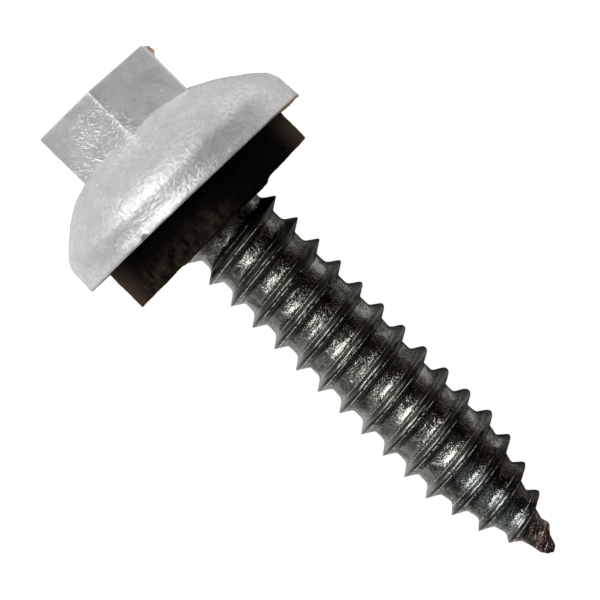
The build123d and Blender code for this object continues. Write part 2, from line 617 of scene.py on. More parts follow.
def spin_outline(name, outline, steps):
    """An outline of (radius, height) points turned once round the axis."""
    piece = draw_chain(name, [(radius, 0, height) for radius, height in outline])
    bpy.ops.object.mode_set(mode="EDIT")
    bpy.ops.mesh.select_all(action="SELECT")
    bpy.ops.mesh.spin(steps=steps, angle=math.tau, center=(0, 0, 0), axis=(0, 0, 1))
    bpy.ops.object.mode_set(mode="OBJECT")
    clean_surface(piece)
    return piece


def is_outside(head, radius, height, margin):
    """Whether each point is on the outside of the head, and not in its recess."""
    return height <= dome_height(head, np.minimum(radius, HEAD_HIGH.x)) + margin


def press_hexagon(piece, head):
    """Presses the turned boss into a hexagon that runs down into the dome."""
    points = get_points(piece)
    radius, angle, height = to_polar(points)
    corner = corner_radius(head.apothem)
    root = float(dome_height(head, corner))
    reach = corner + head.root_fillet + HEXAGON_BLEND
    hold = 1 - smooth_step(radius, corner + 0.5 * head.root_fillet, reach)
    hold = hold * is_outside(head, radius, height, PRESSING_MARGIN)
    squeeze = hexagon_radius(angle, head.apothem, head.hexagon_turn, head.corner_sharpness) / corner
    pressed = radius * (1 - hold * (1 - squeeze))
    drop = dome_height(head, pressed) - dome_height(head, radius)
    depth = np.clip(height / root, 0, 1)
    height = height + drop * depth * (radius > 0.5 * corner)
    set_points(piece, from_polar(pressed, angle, height))


def near(angle, degrees, reach):
    """1 close to a direction round the axis and 0 away from it, by the two reaches in degrees."""
    offset = angle - math.radians(degrees)
    turned = np.degrees(abs(np.arctan2(np.sin(offset), np.cos(offset))))
    return 1 - smooth_step(turned, *reach)


def sink_dome(head, radius, angle, height):
    """How far each outside point sinks: the dome on its -X side, its root and shoulder on +X."""
    root = float(dome_height(head, head.apothem))
    on_dome = is_outside(head, radius, height, SINKING_MARGIN)
    down = smooth_step(height, root - ABOVE_ROOT, root)
    across = smooth_step(radius, *SAG_GROWS) * (1 - SAG_EASED * smooth_step(radius, *SAG_EASES))
    far_side = head.sag * across * smooth_step(-np.cos(angle), *SIDE_FACES)
    by_root = hump(radius, SAG_GROWS, ROOT_ENDS)
    near_side = head.near_sag * (smooth_step(radius, *SHOULDER_STARTS) + ROOT_SAG * by_root)
    near_side = near_side * smooth_step(np.cos(angle), *SIDE_FACES)
    return (far_side + near_side) * on_dome * down


def batter_rim(radius, angle, height):
    """A notch in the rim, a lip and dents on its -X side, and a burr on the hexagon's -X corner."""
    lumps = roughness_at(from_polar(radius, angle, height), grain=0.35 * MM, seed=9, octaves=2)
    on_rim = smooth_step(radius, *RIM_STARTS) * smooth_step(height, *NOTCHED_HEIGHT)
    notch = near(angle, NOTCH, NOTCH_REACH)
    far_side = near(angle, FAR_SIDE, FAR_SIDE_REACH)
    height = height - NOTCH_DEPTH * on_rim * notch
    height = height + on_rim * far_side * (LIP_RISE + LIP_LUMPS * lumps)
    skirt = smooth_step(radius, *SKIRT_STARTS) * (1 - on_rim)
    radius = radius - skirt * far_side * DENT_DEPTH * np.clip(lumps + DENT_SHARE, 0, 1)
    on_hexagon = (radius > BURR_FROM_AXIS) * (height < BURR_LOWEST)
    burr = near(angle, BURR, BURR_REACH) * hump(height, BURR_GROWS, BURR_FADES) * on_hexagon
    radius = radius + burr * (BURR_SIZE + BURR_LUMPS * lumps)
    return radius, height


def weather_casting(piece, head):
    """Shallow casting waves, a drawn-in skirt, sunken sides, a lean, an uneven rim and a burr."""
    points = get_points(piece)
    radius, angle, height = to_polar(points)
    waves = WIDE_WAVES * roughness_at(points, grain=1.6 * MM, seed=2, octaves=2)
    waves += FINE_WAVES * roughness_at(points, grain=0.45 * MM, seed=3, octaves=2)
    rim = smooth_step(radius, *RIM_EDGE) * smooth_step(height, *UNEVEN_HEIGHT)
    round_rim = from_polar(np.full_like(angle, RIM_CIRCLE), angle, height * 0)
    drawn_in = smooth_step(radius, *RIM_STARTS) * hump(height, DRAWN_IN_GROWS, DRAWN_IN_FADES)
    drawn_in = drawn_in * smooth_step(np.cos(angle), *DRAWN_IN_ALONG_X)
    drawn_in = drawn_in * smooth_step(-np.sin(angle), *DRAWN_IN_ALONG_Y)
    drawn_in = drawn_in * (1 + PATCHINESS * roughness_at(round_rim, grain=1.3 * MM, seed=12, octaves=2))
    radius = radius + smooth_step(radius, *CASTING_WAVES) * waves - head.skirt_waist * drawn_in
    height = height + rim * RIM_WAVES * roughness_at(round_rim, grain=0.9 * MM, seed=4, octaves=2)
    sunk = sink_dome(head, radius, angle, height)
    height = height + sunk * (1 + PATCHINESS * roughness_at(points, grain=0.6 * MM, seed=10, octaves=2))
    radius, height = batter_rim(radius, angle, height)
    points = from_polar(radius, angle, height)
    along = height / HEAD_HIGH.z
    points[:, 2] += head.lean_lift - (head.lean - head.lean_loss * along) * points[:, 0]
    points[:, 2] += head.nod * along * points[:, 1]
    set_points(piece, points)


class SCREW_OT_head(bpy.types.Operator):
    """Model the cast hexagon head and its domed flange"""

    bl_idname = "screw.head"
    bl_label = "Cast head"

    def execute(self, context):
        head = context.scene.screw_head
        piece = spin_outline("cast_cap", head_outline(head, context.scene.screw_rod), head.turn_steps)
        press_hexagon(piece, head)
        weather_casting(piece, head)
        shade(piece)
        place_on_frame(piece, "cast_head", casting_material(head))
        return {"FINISHED"}


# Rubber washer

RUBBER_EDGE = 0.05 * MM
BORE_CLEARANCE = 0.06 * MM
CUT_DEPTH = 0.4 * MM
NICK_DEPTH = 0.1 * MM
FACE_RISE = 0.02 * MM
OUTER_PART = mm(6.6, 6.9)
SWELL_ENDS = mm(3.4, 4.3)
SWELL_FACES = (0.2, 0.9)
NICK = -28
NICK_REACH = (0.6, 2.0)
FINE_SHARE = 0.35
LIP_TOP = 3 * RUBBER_EDGE
LIP_FOOT = 7 * RUBBER_EDGE


def washer_outline(washer):
    """The ring's outline, up its bore, over the swollen lip and back underneath."""
    edge = RUBBER_EDGE
    inner = ROD_HIGH.x + BORE_CLEARANCE
    outer = WASHER_HIGH.x
    low = WASHER_LOW.z
    high = WASHER_HIGH.z
    swollen = high + washer.lip_height
    outline = Outline(inner, low + edge)
    outline.line(inner, swollen - edge, steps=10)
    outline.bend((inner, swollen), (inner + edge, swollen), steps=3)
    outline.bend((inner + LIP_TOP, swollen), (inner + LIP_FOOT, high), steps=5)
    outline.line(outer - edge, high, steps=16)
    outline.bend((outer, high), (outer, high - edge), steps=3)
    outline.line(outer, low + edge, steps=16)
    outline.bend((outer, low), (outer - edge, low), steps=2)
    outline.line(inner + edge, low, steps=8)
    outline.bend((inner, low), (inner, low + edge), steps=2)
    return outline.points


def rough_cut(piece, washer):
    """Makes the cut faces uneven, nicks the edge and swells the rubber beside the rod."""
    points = get_points(piece)
    radius, angle, height = to_polar(points)
    waves = roughness_at(points, grain=0.9 * MM, seed=5) * washer.raggedness
    fine = roughness_at(points, grain=0.25 * MM, seed=6, octaves=2) * washer.raggedness * FINE_SHARE
    outside = smooth_step(radius, *OUTER_PART)
    face = smooth_step(height, WASHER_HIGH.z - CUT_DEPTH, WASHER_HIGH.z)
    nick = near(angle, NICK, NICK_REACH) * face
    radius = radius + outside * (waves + fine - washer.shrink - NICK_DEPTH * nick)
    height = height + face * (waves + fine)
    points = from_polar(radius, angle, height)
    points[:, 2] += face * (washer.lean * points[:, 0] + FACE_RISE)
    swollen = smooth_step(-np.cos(angle), *SWELL_FACES) * (1 - smooth_step(radius, *SWELL_ENDS))
    points[:, 2] += face * washer.swell * swollen
    set_points(piece, points)


class SCREW_OT_washer(bpy.types.Operator):
    """Model the rubber sealing washer"""

    bl_idname = "screw.washer"
    bl_label = "Sealing washer"

    def execute(self, context):
        washer = context.scene.screw_washer
        piece = spin_outline("rubber_ring", washer_outline(washer), washer.turn_steps)
        rough_cut(piece, washer)
        shade(piece)
        place_on_frame(piece, "sealing_washer", rubber_material(washer))
        return {"FINISHED"}


# Materials

FLOAT = "NodeSocketFloat"
VECTOR = "NodeSocketVector"


class Wiring:
    """A node tree that is being wired. A value is a number or a socket, a colour three or a socket."""

    def __init__(self, tree):
        self.nodes = tree.nodes
        self.links = tree.links

    def feed(self, value, socket):
        """Links a socket to an input, or sets the input to a value."""
        if isinstance(value, bpy.types.NodeSocket):
            self.links.new(value, socket)
        elif socket.type == "RGBA":
            socket.default_value = (*value, 1)
        else:
            socket.default_value = value

    def node(self, kind, **values):
        """A node with some of its settings or inputs given by name."""
        made = self.nodes.new(kind)
        for key, value in values.items():
            if hasattr(made, key):
                setattr(made, key, value)
            else:
                self.feed(value, made.inputs[key.replace("_", " ")])
        return made

    def split(self, vector):
        """The X, Y and Z of a vector."""
        return self.node("ShaderNodeSeparateXYZ", Vector=vector).outputs

    def calc(self, operation, *values):
        """A Math node's result."""
        made = self.node("ShaderNodeMath", operation=operation)
        for socket, value in zip(made.inputs, values):
            self.feed(value, socket)
        return made.outputs[0]

    def add(self, first, second):
        return self.calc("ADD", first, second)

    def minus(self, first, second):
        return self.calc("SUBTRACT", first, second)

    def times(self, first, second):
        return self.calc("MULTIPLY", first, second)

    def most(self, first, second):
        return self.calc("MAXIMUM", first, second)

    def away(self, value, middle):
        """How far a value is from a middle one, either way."""
        return self.calc("ABSOLUTE", self.minus(value, middle))

    def between(self, value, low, high):
        """0 before `low`, 1 past `high` and a smooth change between them."""
        made = self.node("ShaderNodeMapRange", Value=value, From_Min=low, From_Max=high)
        made.interpolation_type = "SMOOTHSTEP"
        return made.outputs["Result"]

    def within(self, value, rise, fall):
        """A mask that rises over one pair of values and falls over another."""
        return self.times(self.between(value, *rise), self.between(value, *fall))

    def total(self, first, *terms):
        """The sum of a value and of others, each given with its weight."""
        for value, weight in terms:
            first = self.calc("MULTIPLY_ADD", value, weight, first)
        return first

    def eased(self, value, mask, loss):
        """A value that loses a share of itself where a mask is full."""
        return self.times(value, self.calc("MULTIPLY_ADD", mask, -loss, 1.0))

    def mixed(self, mask, first, second):
        """Two colours, mixed by a mask."""
        made = self.node("ShaderNodeMix", data_type="RGBA", Factor=mask)
        self.feed(first, made.inputs[6])
        self.feed(second, made.inputs[7])
        return made.outputs[2]

    def painted(self, base, *layers):
        """A colour under thin layers, each given as (mask, strength, colour)."""
        for mask, strength, colour_on_top in layers:
            base = self.mixed(self.times(mask, strength), base, colour_on_top)
        return base

    def effect(self, group, vector, **values):
        """A shared effect, with its own values."""
        return self.node("ShaderNodeGroup", node_tree=group, Vector=vector, **values).outputs

    def bump(self, shader, height, distance):
        """Raises the surface by a height between 0 and 1, times a distance."""
        bump = self.node("ShaderNodeBump", Strength=1.0, Distance=distance, Height=height)
        self.feed(bump.outputs["Normal"], shader.inputs["Normal"])


def new_material(name):
    """A material, the wiring of its nodes and its shader."""
    material = bpy.data.materials.new(name)
    material.use_nodes = True
    return material, Wiring(material.node_tree), material.node_tree.nodes["Principled BSDF"]


def object_place(wiring):
    return wiring.nodes.new("ShaderNodeTexCoord").outputs["Object"]


def new_group(name, inputs, outputs):
    """An empty node group. Its inputs are a vector and numbers by name, its outputs are numbers."""
    group = bpy.data.node_groups.new(name, "ShaderNodeTree")
    group.interface.new_socket(name="Vector", in_out="INPUT", socket_type=VECTOR)
    for socket_name, default in inputs.items():
        socket = group.interface.new_socket(name=socket_name, in_out="INPUT", socket_type=FLOAT)
        socket.default_value = default
    for socket_name in outputs:
        group.interface.new_socket(name=socket_name, in_out="OUTPUT", socket_type=FLOAT)
    given = group.nodes.new("NodeGroupInput")
    result = group.nodes.new("NodeGroupOutput")
    return group, Wiring(group), given.outputs, result.inputs


PIT_EDGE = (0.42, 0.22)
WRINKLE_EDGE = (1.0, 0.3)
STREAK_SLOPE = 0.6
QUARTER_TURN = 0.25


def grain_group():
    """Shared effect: clouds, and scattered round pits, of a chosen size."""
    group = bpy.data.node_groups.get("Grain")
    if group is not None:
        return group
    inputs = {"Per metre": 2000, "Detail": 4, "Pit share": 0.2}
    group, wiring, given, result = new_group("Grain", inputs, ("Clouds", "Pits"))
    size = {"Vector": given["Vector"], "Scale": given["Per metre"]}
    clouds = wiring.node("ShaderNodeTexNoise", Roughness=0.6, Detail=given["Detail"], **size)
    cells = wiring.node("ShaderNodeTexVoronoi", **size)
    chance = wiring.node("ShaderNodeSeparateColor", Color=cells.outputs["Color"])
    chosen = wiring.calc("LESS_THAN", chance.outputs["Red"], given["Pit share"])
    inside = wiring.between(cells.outputs["Distance"], *PIT_EDGE)
    wiring.feed(clouds.outputs["Fac"], result["Clouds"])
    wiring.feed(wiring.times(chosen, inside), result["Pits"])
    return group


def turned_group():
    """Shared effect: marks that run round the screw's axis, climbing by a lead each turn."""
    group = bpy.data.node_groups.get("Turned marks")
    if group is not None:
        return group
    inputs = {"Lead": 0.0, "First crest": 0.0, "Along": 1.5, "Across per metre": 16000}
    group, wiring, given, result = new_group("Turned marks", inputs, ("Streaks", "From crest"))
    x, y, z = wiring.split(given["Vector"])
    radius = wiring.calc("SQRT", wiring.calc("MULTIPLY_ADD", x, x, wiring.times(y, y)))
    angle = wiring.calc("ARCTAN2", x, wiring.times(y, -1))
    turn = wiring.minus(wiring.calc("DIVIDE", angle, math.tau), QUARTER_TURN)
    climb = wiring.minus(z, wiring.times(turn, given["Lead"]))
    level = wiring.add(climb, wiring.times(radius, -STREAK_SLOPE))
    off_axis = wiring.add(radius, 1e-6)
    around = wiring.node(
        "ShaderNodeCombineXYZ",
        X=wiring.times(wiring.calc("DIVIDE", x, off_axis), given["Along"]),
        Y=wiring.times(wiring.calc("DIVIDE", y, off_axis), given["Along"]),
        Z=wiring.times(level, given["Across per metre"]),
    )
    streaks = wiring.node(
        "ShaderNodeTexNoise", Vector=around.outputs["Vector"], Scale=1.0, Detail=3, Roughness=0.6
    )
    lead = wiring.add(given["Lead"], 1e-9)
    turns_past = wiring.calc("DIVIDE", wiring.minus(climb, given["First crest"]), lead)
    share_past = wiring.minus(wiring.calc("FRACT", wiring.add(turns_past, 0.5)), 0.5)
    wiring.feed(streaks.outputs["Fac"], result["Streaks"])
    wiring.feed(wiring.times(share_past, lead), result["From crest"])
    return group


def wrinkle_group():
    """Shared effect: thin winding lines, drawn out at 45 degrees to the axis."""
    group = bpy.data.node_groups.get("Wrinkles")
    if group is not None:
        return group
    inputs = {"Per metre": 2500, "Stretch": 0.35, "Levels": 6, "Line width": 0.4}
    group, wiring, given, result = new_group("Wrinkles", inputs, ("Lines",))
    x, y, z = wiring.split(given["Vector"])
    drawn = wiring.node(
        "ShaderNodeCombineXYZ",
        X=wiring.times(wiring.minus(z, x), given["Stretch"]),
        Y=y,
        Z=wiring.add(z, x),
    )
    clouds = wiring.node(
        "ShaderNodeTexNoise",
        Vector=drawn.outputs["Vector"],
        Scale=given["Per metre"],
        Detail=2,
        Distortion=0.5,
    )
    level = wiring.calc("FRACT", wiring.times(clouds.outputs["Fac"], given["Levels"]))
    share_away = wiring.calc("DIVIDE", wiring.away(level, 0.5), given["Line width"])
    wiring.feed(wiring.between(share_away, *WRINKLE_EDGE), result["Lines"])
    return group


# Where the steel's films, lines, wear, painted shade and painted highlights are. A pair is where a mask
# is still empty and where it is full, and two pairs are its two edges.

# Along the thread, from its crest towards the point
BAND = mm(-0.36, -0.28), mm(0.12, 0.07)
LAND = mm(-0.10, -0.02), mm(0.12, 0.07)
FLANK = mm(0.10, 0.16), mm(0.5, 0.4)
CREST_EDGE = mm(-0.15, 0.0), mm(0.4, 0.25)

# Thin lines along the thread, as a place and a half width; the fold and foot groove are dirt and
# painted crease shade, the other two painted highlights
FOLD = mm(0.10, 0.045)
FOLD_EDGE = mm(0.15, 0.055)
FOOT_EDGE = mm(-0.36, 0.04)
FOOT_GROOVE = mm(0.42, 0.04)
LINE_CORE = 0.35

# Along the rod
POINT = mm(35.3, 36.6)
NEAR_POINT = mm(29.5, 32.5)

# Across the rod, along X
RUBBED = mm(-1.6, -0.7)
BESIDE_AXIS = mm(2.55, 3.1)
LONG_STAIN = mm(-1.95, -1.5), mm(-0.5, -1.0)
FAR_BAND = mm(-0.9, -2.0)
SHINE_MIDDLE = 0.5 * MM
SHINE_EDGE = mm(1.1, 0.4)
RUSTY_SIDE = mm(-2.3, -3.1)
PITTED_SIDE = mm(-1.85, -2.15)

# Levels of the clouds
STAINS = (0.42, 0.62)
FOLD_BREAKS = (0.44, 0.50)
FOOT_BREAKS = (0.62, 0.52)
FINE_GRIME = (0.45, 0.53)
WIDE_GRIME = (0.46, 0.56)
RUST_SPECKS = (0.58, 0.66)
SCRATCHES = (0.56, 0.64)
PITTED_PATCHES = (0.47, 0.53)
GRAINY_PATCHES = (0.4, 0.55)

STEEL_RELIEF = 0.07 * MM


def steel_masks(rod, wiring):
    """All that varies over the rod, as masks from 0 to 1."""
    place = object_place(wiring)
    x, _, z = wiring.split(place)
    patches = wiring.effect(grain_group(), place, Per_metre=900, Detail=5)
    specks = wiring.effect(grain_group(), place, Per_metre=7500, Detail=2, Pit_share=0.13)
    flecks = wiring.effect(grain_group(), place, Per_metre=4000, Detail=3, Pit_share=0.3)
    thread = {"Lead": rod.pitch, "First_crest": rod.first_crest}
    marks = wiring.effect(turned_group(), place, Along=1.6, Across_per_metre=14000, **thread)
    past_crest = marks["From crest"]

    def line_at(offset, width):
        """A thin line that follows the thread."""
        return wiring.between(wiring.away(past_crest, offset), width, LINE_CORE * width)

    on = SimpleNamespace(clouds=patches["Clouds"], specks=specks["Clouds"], streaks=marks["Streaks"])
    on.stain = wiring.between(on.clouds, *STAINS)
    on.band = wiring.within(past_crest, *BAND)
    # Painted shade: the smooth band darkens towards -X, the side that mirrors dark surroundings.
    on.far_band = wiring.times(on.band, wiring.between(x, *FAR_BAND))
    on.land = wiring.within(past_crest, *LAND)
    on.flank = wiring.within(past_crest, *FLANK)
    on.point = wiring.between(z, *POINT)
    # Painted shade: a dark brown band down one side of the rod, between X -1.95 and -0.5 mm.
    on.long_stain = wiring.within(x, *LONG_STAIN)
    on.rust_specks = wiring.between(on.specks, *RUST_SPECKS)

    # Painted highlights: the bright lines beside the fold and at the head-side foot are kept to the lit
    # side, from about X -1.6 mm towards +X, which the mask named rubbed holds.
    rubbed = wiring.between(x, *RUBBED)
    on.fold = line_at(*FOLD)
    on.fold_edge = wiring.times(line_at(*FOLD_EDGE), wiring.between(flecks["Clouds"], *FOLD_BREAKS))
    on.fold_edge = wiring.times(on.fold_edge, rubbed)
    on.foot_edge = wiring.times(line_at(*FOOT_EDGE), wiring.between(flecks["Clouds"], *FOOT_BREAKS))
    on.foot_edge = wiring.times(on.foot_edge, rubbed)

    beside = wiring.between(wiring.calc("ABSOLUTE", x), *BESIDE_AXIS)
    on.crest_edge = wiring.times(beside, wiring.within(past_crest, *CREST_EDGE))
    on.rusty_edge = wiring.times(on.crest_edge, wiring.between(x, *RUSTY_SIDE))

    # Near the point, a strip along X 0.5 mm is painted lighter and bluish, a painted highlight over
    # polished steel, and the dark blotches beside it are grime and painted shade.
    near_point = wiring.between(z, *NEAR_POINT)
    off_shine = wiring.away(x, SHINE_MIDDLE)
    blotches = wiring.most(
        wiring.between(flecks["Clouds"], *FINE_GRIME), wiring.between(on.clouds, *WIDE_GRIME)
    )
    blotches = wiring.times(wiring.between(off_shine, *reversed(SHINE_EDGE)), blotches)
    on.grime = wiring.times(near_point, blotches)
    on.shine = wiring.times(near_point, wiring.between(off_shine, *SHINE_EDGE))

    lined = wiring.most(wiring.calc("MULTIPLY_ADD", on.flank, 0.6, 0.12), on.point)
    on.scratches = wiring.times(wiring.between(on.streaks, *SCRATCHES), lined)

    pitted = wiring.most(wiring.between(on.clouds, *PITTED_PATCHES), wiring.between(x, *PITTED_SIDE))
    pitted = wiring.times(wiring.times(flecks["Pits"], pitted), wiring.minus(1.0, on.band))
    on.pits = wiring.most(pitted, specks["Pits"])
    # Dirt in the pits, and painted crease shade as dark lines along the fold and the foot groove.
    on.dirt = wiring.most(on.pits, wiring.times(on.fold, 0.9))
    on.dirt = wiring.most(on.dirt, wiring.times(line_at(*FOOT_GROOVE), 0.6))
    return on


def steel_colour(rod, wiring, on):
    """Films, stains and painted shade over the steel, then scratches, painted highlights on the bright
    edges, and dirt with painted crease shade.
    """
    return wiring.painted(
        rod.film,
        (on.stain, 1, rod.stain),
        (on.band, 0.8, rod.band),
        (on.land, 0.85, rod.land),
        # painted shade on the band towards -X
        (on.far_band, 0.6, rod.stain),
        (on.flank, 0.75, rod.flank),
        # painted highlight over polished steel along the front strip near the point
        (on.shine, 0.8, rod.polished),
        # grime and painted shade beside that strip
        (on.grime, 0.85, rod.pit),
        # painted shade down one side of the rod
        (on.long_stain, 0.7, rod.shadow),
        (on.rust_specks, 0.45, rod.rust),
        (on.crest_edge, 0.6, rod.edge),
        (on.rusty_edge, 1, rod.rust),
        (on.point, 0.85, rod.brown),
        (on.scratches, 1, rod.bare_steel),
        (on.point, 0.35, rod.rust),
        # painted highlights at the head-side foot and beside the fold
        (on.foot_edge, 0.9, rod.bare_steel),
        (on.fold_edge, 1, rod.bright),
        # dirt, and painted crease shade along the fold and the foot groove
        (on.dirt, 1, rod.pit),
    )


def steel_relief(wiring, on):
    """Grain, streaks and pits, smooth on the band and finer on the point."""
    grain = wiring.calc("MULTIPLY_ADD", wiring.between(on.clouds, *GRAINY_PATCHES), 0.7, 0.3)
    grain = wiring.eased(grain, on.band, 0.85)
    grain = wiring.eased(grain, on.point, 0.7)
    streaky = wiring.total(0.08, (on.point, 1.1), (on.flank, 0.5))
    return wiring.total(
        wiring.times(grain, on.specks),
        (on.pits, -0.25),
        (on.streaks, streaky),
        (on.fold_edge, 1.0),
        (on.foot_edge, 0.8),
        (on.fold, -0.5),
    )


def steel_material(rod):
    """Dark steel with smooth films along the crests, painted shade down one side, bright edges that are
    painted highlights, pits and a brown point.
    """
    material, wiring, shader = new_material("dark_steel")
    on = steel_masks(rod, wiring)
    rough = wiring.node(
        "ShaderNodeMapRange", Value=on.clouds, From_Min=0.3, From_Max=0.7, To_Min=0.12, To_Max=0.24
    )
    rough = wiring.total(rough.outputs["Result"], (on.band, 0.12), (on.land, 0.08))
    dull = wiring.most(wiring.times(on.fold_edge, 0.75), wiring.times(on.foot_edge, 0.35))
    wiring.feed(steel_colour(rod, wiring, on), shader.inputs["Base Color"])
    wiring.feed(wiring.minus(1.0, dull), shader.inputs["Metallic"])
    wiring.feed(rough, shader.inputs["Roughness"])
    wiring.bump(shader, steel_relief(wiring, on), STEEL_RELIEF)
    return material


# Where the casting's marks are. Pairs as for the steel: heights, places along X, cloud levels.
HEXAGON = mm(4.6, 3.6)
WRINKLED_HEIGHT = mm(0.3, 1.8)
WRINKLED_PART = mm(-1.2, 0.6), mm(3.0, 1.8)
WRINKLED_FOOT = mm(1.2, 3.0)
CORNER_PLACE = 0.2 * MM
CORNER_EDGE = mm(0.5, 0.1)
CORNER_FOOT = mm(2.5, 3.4)
SHADED_HEIGHT = mm(6.5, 7.1)
SHADED_PART = mm(1.4, -0.2), mm(-6.8, -5.4)
SEALANT_HEIGHT = mm(8.36, 8.45)
SEALANT_PART = mm(-5.0, -6.0)
BURR_HEIGHT = mm(1.1, 0.7)
BURR_PART = mm(-4.05, -4.15)
WRINKLED_PATCHES = (0.38, 0.52)
CORNER_BREAKS = (0.54, 0.46)
DULL_PATCHES = (0.36, 0.66)
FINE_GRAIN = (0.45, 0.60)
SMOOTH_PATCHES = (0.42, 0.58)

CAST_RELIEF = 0.05 * MM


def cast_wrinkles(wiring, place, clouds):
    """Winding lines on the part of the hexagon that is wrinkled, painted bright as highlights on the
    wrinkles' ridges.
    """
    x, _, z = wiring.split(place)
    wrinkles = wiring.effect(
        wrinkle_group(), place, Per_metre=1900, Stretch=0.3, Levels=6, Line_width=0.2
    )
    wrinkled = wiring.times(wiring.between(z, *WRINKLED_HEIGHT), wiring.within(x, *WRINKLED_PART))
    wrinkled = wiring.total(wrinkled, (wiring.between(z, *WRINKLED_FOOT), 0.3))
    wrinkled = wiring.times(wrinkled, wiring.between(clouds, *WRINKLED_PATCHES))
    return wiring.times(wrinkles["Lines"], wrinkled)


def casting_material(head):
    """Tumbled zinc: mottled and grainy on the dome, wrinkled on the hexagon, with painted highlights on
    the wrinkles and at the corners' foot, and painted shade on the skirt.
    """
    material, wiring, shader = new_material("cast_zinc")
    shader.inputs["Metallic"].default_value = 0.34
    shader.inputs["Roughness"].default_value = 0.25
    shader.inputs["Sheen Weight"].default_value = 0.25
    place = object_place(wiring)
    x, _, z = wiring.split(place)
    clouds = wiring.effect(grain_group(), place, Per_metre=700, Detail=4)["Clouds"]
    fine = wiring.effect(grain_group(), place, Per_metre=4200, Detail=7, Pit_share=0.006)
    marks = wiring.effect(turned_group(), place, Lead=0.0, Along=9.0, Across_per_metre=7000)
    on_hexagon = wiring.between(z, *HEXAGON)
    off_hexagon = wiring.minus(1.0, on_hexagon)
    by_corner = wiring.times(wiring.between(wiring.away(x, CORNER_PLACE), *CORNER_EDGE), on_hexagon)
    # Painted highlight: a bright broken smear at the foot of the hexagon's corners that point along -Y
    # and +Y.
    corner_foot = wiring.times(by_corner, wiring.between(z, *CORNER_FOOT))
    corner_foot = wiring.times(corner_foot, wiring.between(fine["Clouds"], *CORNER_BREAKS))
    wrinkles = wiring.times(cast_wrinkles(wiring, place, clouds), on_hexagon)
    # Wrinkle lines painted bright as highlights on their ridges, and the corners' painted highlight.
    lines = wiring.most(wrinkles, corner_foot)

    grainy = wiring.calc("MULTIPLY_ADD", off_hexagon, 0.36, 0.1)
    grainy = wiring.times(wiring.between(fine["Clouds"], *FINE_GRAIN), grainy)
    grainy = wiring.eased(grainy, wiring.between(clouds, *SMOOTH_PATCHES), 0.7)
    level = wiring.total(z, (x, head.lean - head.lean_loss))
    shaded = wiring.times(wiring.between(level, *SHADED_HEIGHT), wiring.within(x, *SHADED_PART))
    sealed = wiring.times(wiring.between(level, *SEALANT_HEIGHT), wiring.between(x, *SEALANT_PART))
    burred = wiring.times(wiring.between(x, *BURR_PART), wiring.between(z, *BURR_HEIGHT))
    base = wiring.painted(
        head.cast,
        (wiring.between(clouds, *DULL_PATCHES), 0.7, head.cast_dark),
        (off_hexagon, 0.04, head.bright),
        (grainy, 1, head.grain),
        # painted highlights on the wrinkles and at the corners' foot
        (lines, 0.55, head.bright),
        (fine["Pits"], 0.8, head.bright),
        (shaded, 0.35, head.grain),
        (sealed, 1, head.sealant),
        (burred, 1, head.rust),
    )
    wiring.feed(base, shader.inputs["Base Color"])

    coarse = wiring.total(0.15, (off_hexagon, 1.5), (by_corner, 1.0))
    height = wiring.times(fine["Clouds"], coarse)
    wiring.bump(shader, wiring.total(height, (marks["Streaks"], 0.7), (lines, 0.6)), CAST_RELIEF)
    return material


# Where the rubber is brown, and its clouds
BROWN_SIDES = mm(5.3, 7.0)
BROWN_HEIGHT = mm(9.0, 10.4)
BROWN_PART = mm(-1.6, 0.4)
DUST_CLOUDS = (0.34, 0.78)

RUBBER_RELIEF = 0.02 * MM


def rubber_material(washer):
    """Black rubber with brown dust beside the rod, and browner towards -X and +X."""
    material, wiring, shader = new_material("black_rubber")
    shader.inputs["Roughness"].default_value = 0.75
    shader.inputs["Specular IOR Level"].default_value = 0.03
    place = object_place(wiring)
    x, _, z = wiring.split(place)
    patches = wiring.effect(grain_group(), place, Per_metre=1600, Detail=8)
    fine = wiring.effect(grain_group(), place, Per_metre=7000, Detail=3, Pit_share=0.05)
    at_sides = wiring.between(wiring.calc("ABSOLUTE", x), *BROWN_SIDES)
    by_rod = wiring.times(wiring.between(z, *BROWN_HEIGHT), wiring.between(x, *BROWN_PART))
    cloudy = wiring.times(wiring.between(patches["Clouds"], *DUST_CLOUDS), wiring.add(by_rod, 0.04))
    # Browner towards -X and +X, and where the dust clouds and specks are.
    dusty = wiring.most(wiring.most(at_sides, cloudy), wiring.times(fine["Pits"], 0.6))
    wiring.feed(wiring.mixed(dusty, washer.rubber, washer.dust), shader.inputs["Base Color"])
    wiring.bump(shader, fine["Clouds"], RUBBER_RELIEF)
    return material


# Studio


LIGHT_DISTANCE = 0.4
ROOM_GLOW = 0.58
PAPER_GLOW = 0.75
CEILING = (0.55, 0.85)
LOW_PART = (-0.25, -0.6)
CEILING_LIGHT = (0.10, 0.11, 0.10)
WHITE = (1, 1, 1)
SENSOR_WIDTH = 36
CLIP_START = 10 * MM
CLIP_END = 10

# Name, azimuth, elevation, width and height in degrees, radiance, tint and whether it shines
SOFTBOXES = (
    ("shine", 28, -31, 36, 54, 6.6, (1.0, 0.98, 0.92), True),
    ("key_light", 20, -35, 60, 60, 1.85, (1.0, 1.0, 0.98), False),
    ("side_light", -112, -35, 60, 60, 2.9, (0.98, 0.98, 1.0), False),
    ("fill_light", 118, -20, 60, 60, 1.6, (1.0, 1.0, 0.98), False),
)

